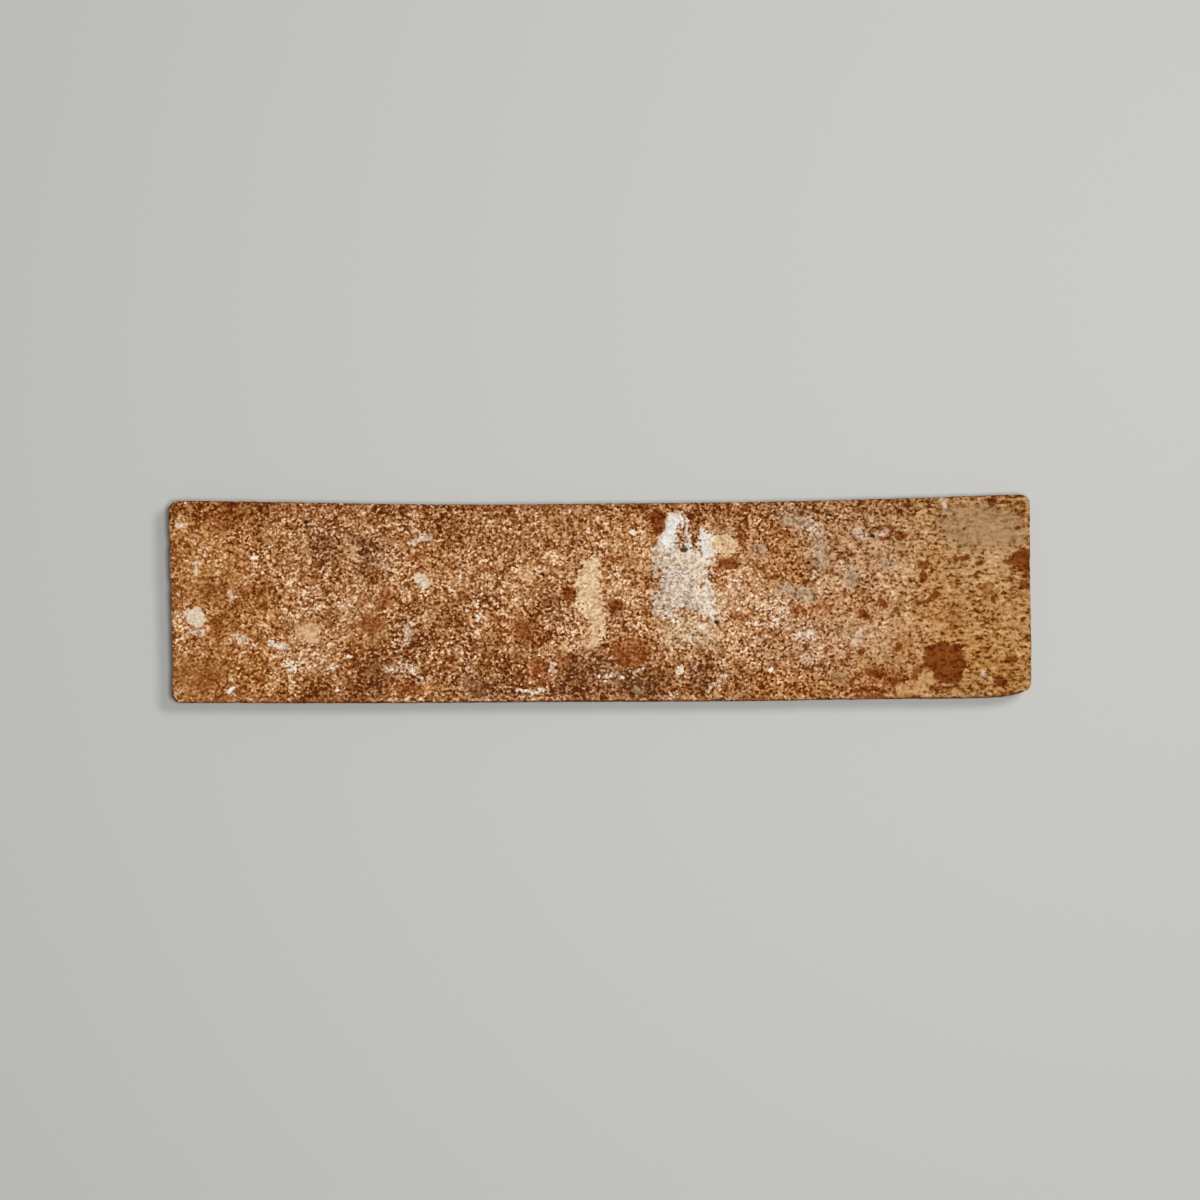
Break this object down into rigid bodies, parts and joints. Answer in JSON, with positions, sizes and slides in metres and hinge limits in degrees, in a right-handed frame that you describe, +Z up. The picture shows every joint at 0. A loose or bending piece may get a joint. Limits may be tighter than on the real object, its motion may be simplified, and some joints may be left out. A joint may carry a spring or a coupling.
{
  "type": "brick-look porcelain subway tile",
  "caption": "Flat oblong brick-look porcelain tile with uneven softened edges, a mottled rust and tan matte face, and a waffled back that keys into tile adhesive.",
  "frame": {"origin": "middle of the back, on the surface that the tile lies on", "axes": "+X along the tile's length, +Y across it towards the hollow long edge, +Z up out of the face"},
  "size_m": [0.25, 0.0607, 0.01],
  "materials": {
    "porcelain": "matte"
  },
  "bodies": {
    "root": {"subway_tile": "porcelain"}
  },
  "joints": []
}
